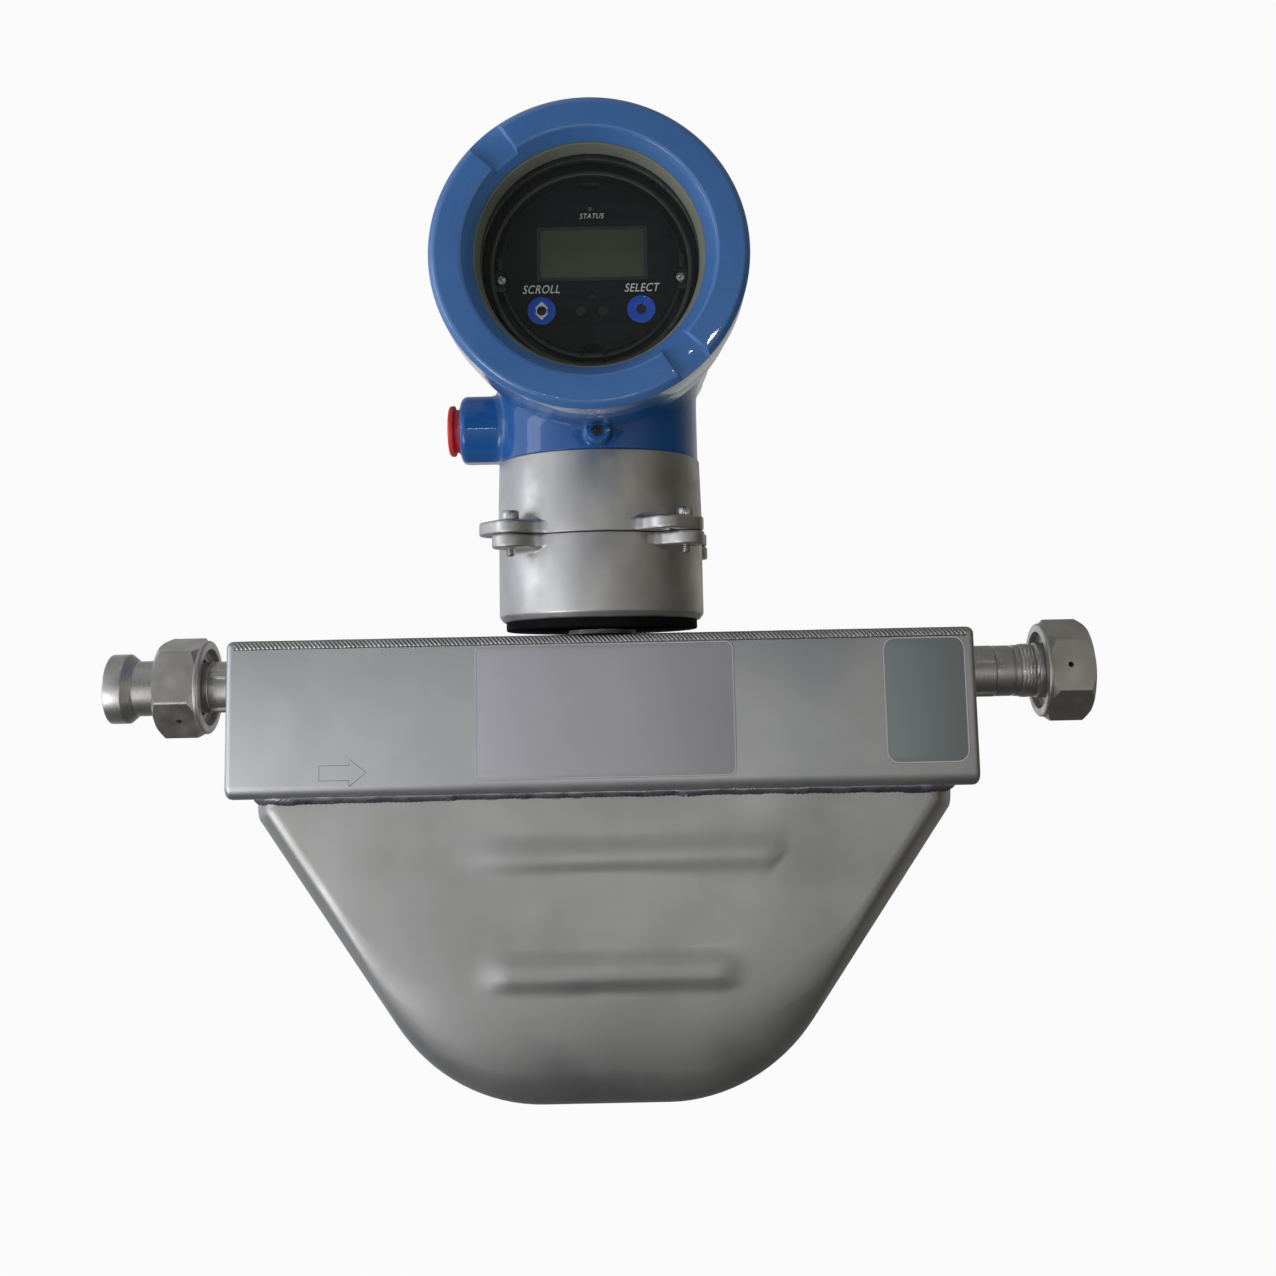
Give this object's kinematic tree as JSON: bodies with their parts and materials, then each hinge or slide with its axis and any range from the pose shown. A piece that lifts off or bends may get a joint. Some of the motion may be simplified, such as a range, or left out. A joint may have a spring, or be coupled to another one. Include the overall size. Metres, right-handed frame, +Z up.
{
  "type": "coriolis flow meter",
  "caption": "Coriolis mass flow meter: steel sensor case with two union-nut process connections and a round blue transmitter head with an LCD window.",
  "frame": {"origin": "on the flow axis, midway between the two process connection faces", "axes": "+X along the pipe towards the outlet, +Z up towards the transmitter head, the display faces -Y"},
  "size_m": [0.4184, 0.15, 0.3946],
  "materials": {
    "stainless": "satin",
    "dark_stainless": "machined",
    "screw_steel": "bright",
    "blue_paint": "gloss enamel",
    "red_plug": "satin",
    "black_plastic": "satin",
    "lcd_glass": "gloss",
    "blue_switch": "gloss",
    "clear_lens": "gloss",
    "circuit_board": "solder mask",
    "copper_coil": "enamelled wire",
    "brass": "plated",
    "ceramic": "matt",
    "label_film": "satin",
    "cable_sheath": "matt",
    "seal_rubber": "matt",
    "gasket_rubber": "matt",
    "clear_glass": "polished"
  },
  "bodies": {
    "sensor": {"case_box": "stainless", "lower_case": "stainless", "support_neck": "stainless", "base_housing": "stainless", "cap_screws": "screw_steel", "core_processor": "blue_switch", "core_screw": "blue_switch", "feedthrough": "brass", "inlet_manifold": "blue_switch", "outlet_manifold": "blue_switch", "flow_tube_front": "blue_switch", "flow_tube_rear": "blue_switch", "brace_bars": "blue_switch", "drive_coil": "copper_coil", "drive_magnet": "blue_switch", "inlet_pickoff_coil": "copper_coil", "inlet_pickoff_magnet": "blue_switch", "outlet_pickoff_coil": "copper_coil", "outlet_pickoff_magnet": "blue_switch", "temperature_sensor": "ceramic", "sensor_wires": "copper_coil", "inlet_gland": "stainless", "outlet_gland": "stainless", "front_label": "label_film", "side_label": "label_film"},
    "inlet_nut": {"inlet_union_nut": "dark_stainless"},
    "outlet_nut": {"outlet_union_nut": "dark_stainless"},
    "head": {"transition_ring": "stainless", "base_o_ring": "seal_rubber", "ring_screws": "blue_switch", "enclosure": "blue_paint", "cover_lock_screw": "screw_steel", "conduit_plug_front": "red_plug", "conduit_plug_rear": "red_plug", "display_bezel": "blue_switch", "display_module": "black_plastic", "lcd_panel": "lcd_glass", "scroll_switch": "blue_switch", "select_switch": "blue_switch", "status_light": "clear_lens", "display_screws": "blue_switch", "main_board": "circuit_board", "power_board": "circuit_board", "board_standoffs": "brass", "terminal_block": "blue_switch", "earth_screw": "brass", "core_cable": "cable_sheath"},
    "cover_carrier": {"cover_o_ring": "seal_rubber"},
    "cover": {"display_cover": "blue_paint", "cover_glass": "clear_glass", "glass_gasket": "gasket_rubber", "glass_retainer": "black_plastic"}
  },
  "joints": [
    {"name": "inlet_nut_turn", "type": "hinge", "parent": "sensor", "child": "inlet_nut", "pos_m": [-0.18, 0, 0], "axis": [1, 0, 0], "continuous": true},
    {"name": "outlet_nut_turn", "type": "hinge", "parent": "sensor", "child": "outlet_nut", "pos_m": [0.198, 0, 0], "axis": [1, 0, 0], "continuous": true},
    {"name": "head_turn", "type": "hinge", "parent": "sensor", "child": "head", "pos_m": [0, 0, 0.0598], "axis": [0, 0, 1], "range_deg": [0, 12]},
    {"name": "cover_slide", "type": "slide", "parent": "head", "child": "cover_carrier", "axis": [0, -1, 0], "range_m": [0, 0.00901]},
    {"name": "cover_turn", "type": "hinge", "parent": "cover_carrier", "child": "cover", "pos_m": [0, -0.08, 0.1606], "axis": [0, -1, 0], "range_deg": [0, 2160]}
  ],
  "couplings": [
    {"joint": "cover_slide", "follows": "cover_turn", "m_per_rad": 0.00023873}
  ]
}
